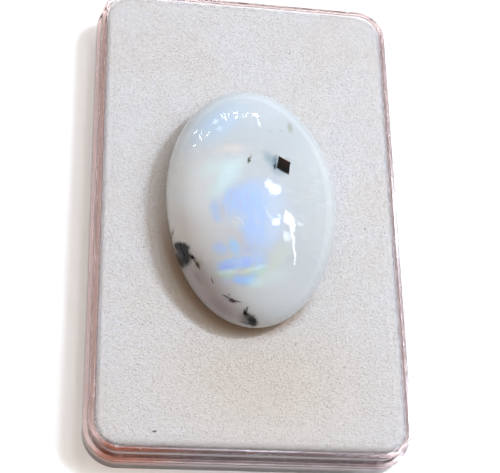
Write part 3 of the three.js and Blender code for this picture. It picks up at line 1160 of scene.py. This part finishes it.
# Lamps: direction of each from the stone, the way its long side runs, its long
# and short sides as angles seen from the stone, and its brightness.
LAMPS = (
    ("window core", (0.528, 0.236, 0.816), (-0.85, 0.06, 0.53), 0.102, 0.044, 7.3),
    ("window", (0.541, 0.228, 0.81), (-0.82, 0.37, 0.45), 0.197, 0.078, 1.0),
    ("window foot", (0.604, 0.17, 0.778), (-0.8, 0.17, 0.58), 0.094, 0.049, 0.85),
    ("window side", (0.707, 0.201, 0.678), (-0.7, 0.1, 0.71), 0.146, 0.024, 0.35),
    ("window arm", (0.408, 0.251, 0.878), (-0.9, 0.25, 0.35), 0.085, 0.009, 0.8),
    ("window pane", (0.363, 0.213, 0.907), (-0.93, 0.03, 0.37), 0.106, 0.044, 1.0),
    ("pane streak", (0.272, 0.254, 0.928), (-0.85, 0.51, 0.11), 0.08, 0.009, 0.4),
    ("pane ray", (0.245, 0.29, 0.925), (-0.6, 0.79, -0.09), 0.07, 0.011, 0.3),
    ("window glow", (0.539, 0.094, 0.837), (-0.82, 0.3, 0.49), 0.133, 0.07, 0.45),
    ("tail 1", (0.622, 0.106, 0.776), (-0.68, 0.57, 0.47), 0.104, 0.021, 1.6),
    ("tail 2", (0.66, 0.044, 0.75), (-0.15, -0.97, 0.18), 0.071, 0.031, 1.6),
    ("tail 3", (0.684, -0.024, 0.729), (-0.57, 0.61, 0.55), 0.11, 0.023, 1.6),
    ("tail 4", (0.732, -0.112, 0.672), (-0.21, 0.9, 0.39), 0.13, 0.027, 1.1),
    ("second", (0.321, 0.422, 0.847), (-0.94, 0.06, 0.33), 0.129, 0.044, 1.0),
    ("second left", (0.245, 0.436, 0.866), (-0.97, 0.14, 0.21), 0.064, 0.027, 0.9),
    ("second low", (0.309, 0.401, 0.862), (-0.95, 0.12, 0.29), 0.102, 0.017, 0.85),
    ("second tip", (0.255, 0.456, 0.853), (-0.94, 0.33, 0.1), 0.049, 0.018, 0.7),
    ("row 1", (-0.241, 0.921, 0.305), (-0.14, 0.27, -0.95), 0.157, 0.012, 0.9),
    ("row 2", (-0.203, 0.916, 0.345), (-0.09, 0.33, -0.94), 0.151, 0.012, 1.0),
    ("row 3", (-0.153, 0.919, 0.364), (-0.18, -0.39, 0.9), 0.105, 0.014, 0.9),
    ("row 4", (-0.187, 0.889, 0.418), (-0.7, 0.18, -0.69), 0.042, 0.022, 0.9),
    ("row 5", (-0.065, 0.93, 0.361), (-0.92, 0.09, -0.39), 0.061, 0.025, 1.0),
    ("row 6", (-0.061, 0.896, 0.44), (-0.65, -0.37, 0.67), 0.058, 0.016, 0.8),
    ("row 7", (0.021, 0.908, 0.419), (-0.14, 0.42, -0.9), 0.088, 0.01, 0.9),
    ("row 8", (0.067, 0.91, 0.409), (-0.33, -0.36, 0.87), 0.111, 0.012, 1.0),
    ("row 9", (0.176, 0.904, 0.39), (-0.95, 0.26, -0.17), 0.08, 0.056, 0.95),
    ("row 10", (0.201, 0.846, 0.493), (-0.22, 0.53, -0.82), 0.091, 0.025, 0.7),
    ("side 1", (-0.56, 0.77, 0.306), (-0.14, 0.27, -0.95), 0.155, 0.015, 0.75),
    ("side 2", (-0.585, 0.807, 0.087), (-0.54, -0.31, -0.79), 0.083, 0.028, 0.5),
    ("side 3", (-0.535, 0.807, 0.252), (-0.01, -0.3, 0.95), 0.117, 0.014, 0.5),
    ("side 4", (-0.46, 0.791, 0.403), (-0.78, -0.58, 0.25), 0.063, 0.035, 0.8),
    ("side 5", (-0.658, 0.706, 0.26), (0.47, 0.11, 0.88), 0.05, 0.03, 1.0),
    ("glow 1", (-0.335, 0.878, 0.341), (0.44, -0.17, 0.88), 0.096, 0.057, 0.25),
    ("glow 2", (-0.295, 0.822, 0.486), (0.65, -0.2, 0.73), 0.085, 0.056, 0.15),
)
# The same for the lamps that only light the tray and draw the lines on its rim.
RIM_LAMPS = (
    ("far strip", (0.193, 0.839, 0.51), (1.0, 0.0, 0.0), 0.26, 0.11, 0.22),
    ("near strip", (0.1, -0.6, 0.8), (1.0, 0.0, 0.0), 0.4, 0.12, 1.3),
    ("left panel", (-0.75, 0.44, 0.49), (0.0, 1.0, 0.0), 0.5, 0.2, 0.3),
)


def put(data, place, right, up, back):
    """A lamp or a camera in the scene, at that place and turned that way."""
    thing = bpy.data.objects.new(data.name, data)
    turn = Matrix((right, up, back)).transposed().to_4x4()
    thing.matrix_world = Matrix.Translation(place) @ turn
    bpy.context.scene.collection.objects.link(thing)
    return thing


def place_camera():
    """The camera that looks down on the tray from the near left."""
    data = bpy.data.cameras.new("camera")
    data.lens = CAMERA_LENS
    data.sensor_width = 36.0
    data.clip_start = 0.01
    data.clip_end = 20.0
    back = -CAMERA_FORWARD.normalized()
    right = CAMERA_UP.cross(back).normalized()
    bpy.context.scene.camera = put(data, CAMERA_PLACE, right, back.cross(right), back)


def lay_floor(settings):
    """A pale matt floor under the tray."""
    add = bpy.ops.mesh.primitive_plane_add
    floor = new_primitive("floor", add, size=6, location=(0, 0, TRAY_LOW.z - 0.05 * MM))
    material, wiring, shader = new_material("Pale floor")
    finish = {
        "Base Color": settings.floor,
        "Roughness": 0.9,
        "Specular IOR Level": 0.1,
        "Emission Color": settings.floor,
        "Emission Strength": settings.floor_glow,
    }
    wiring.feed(shader, finish)
    floor.data.materials.append(material)


def hang_lamp(settings, name, direction, run, long_side, short_side, share):
    """One area lamp, aimed at the top of the stone."""
    data = bpy.data.lights.new(name, "AREA")
    data.shape = "RECTANGLE"
    data.size = long_side * LAMP_DISTANCE
    data.size_y = short_side * LAMP_DISTANCE
    data.energy = settings.key_glow * share * math.pi * data.size * data.size_y
    data.color = settings.daylight
    away = Vector(direction).normalized()
    run = Vector(run)
    along = (run - away * run.dot(away)).normalized()
    place = Vector((0, 0, STONE_HIGH.z)) + away * LAMP_DISTANCE
    lamp = put(data, place, along, away.cross(along), away)
    lamp.visible_camera = False
    return lamp


def light_room(settings):
    """The soft warm light that comes from the room all round."""
    world = bpy.data.worlds.new("Room")
    world.use_nodes = True
    bpy.context.scene.world = world
    wiring = Wiring(world.node_tree)
    z = wiring.split(wiring.node("TexCoord", {}, "Generated"))[2]
    colour = wiring.blend(wiring.fade(z, 0.05, 0.75), settings.room_low, settings.room)
    light = {"Color": colour, "Strength": settings.room_strength}
    wiring.feed(world.node_tree.nodes["Background"], light)


class GEMBOX_OT_stage(bpy.types.Operator):
    """Set up the floor, the lamps and the camera"""

    bl_idname = "gembox.stage"
    bl_label = "Stage"

    def execute(self, context):
        settings = context.scene.gembox_stage
        place_camera()
        lay_floor(settings)
        for lamp in LAMPS:
            hang_lamp(settings, *lamp)
        for lamp in RIM_LAMPS:
            hang_lamp(settings, *lamp).light_linking.receiver_collection = tray_collection()
        light_room(settings)
        context.scene.view_settings.view_transform = "Standard"
        return {"FINISHED"}


class GEMBOX_PT_panel(bpy.types.Panel):
    """Lists the steps that build the stone and its tray"""

    bl_idname = "GEMBOX_PT_panel"
    bl_label = "Moonstone in a display tray"
    bl_space_type = "VIEW_3D"
    bl_region_type = "UI"
    bl_category = "Moonstone"

    def draw(self, context):
        for step in STEPS:
            self.layout.operator(step.bl_idname)


SETTINGS = (
    ("gembox_tray", TraySettings),
    ("gembox_pad", PadSettings),
    ("gembox_stone", StoneSettings),
    ("gembox_stage", StageSettings),
)
STEPS = (
    GEMBOX_OT_stage,
    GEMBOX_OT_tray,
    GEMBOX_OT_pad,
    GEMBOX_OT_pile,
    GEMBOX_OT_stone,
)


def register():
    for name, kind in SETTINGS:
        bpy.utils.register_class(kind)
        setattr(bpy.types.Scene, name, bpy.props.PointerProperty(type=kind))
    for kind in (*STEPS, GEMBOX_PT_panel):
        bpy.utils.register_class(kind)


def unregister():
    for kind in (GEMBOX_PT_panel, *reversed(STEPS)):
        bpy.utils.unregister_class(kind)
    for name, kind in reversed(SETTINGS):
        delattr(bpy.types.Scene, name)
        bpy.utils.unregister_class(kind)


def main():
    register()
    bpy.ops.gembox.stage()
    bpy.ops.gembox.tray()
    bpy.ops.gembox.pad()
    bpy.ops.gembox.pile()
    bpy.ops.gembox.stone()


if __name__ == "__main__":
    main()
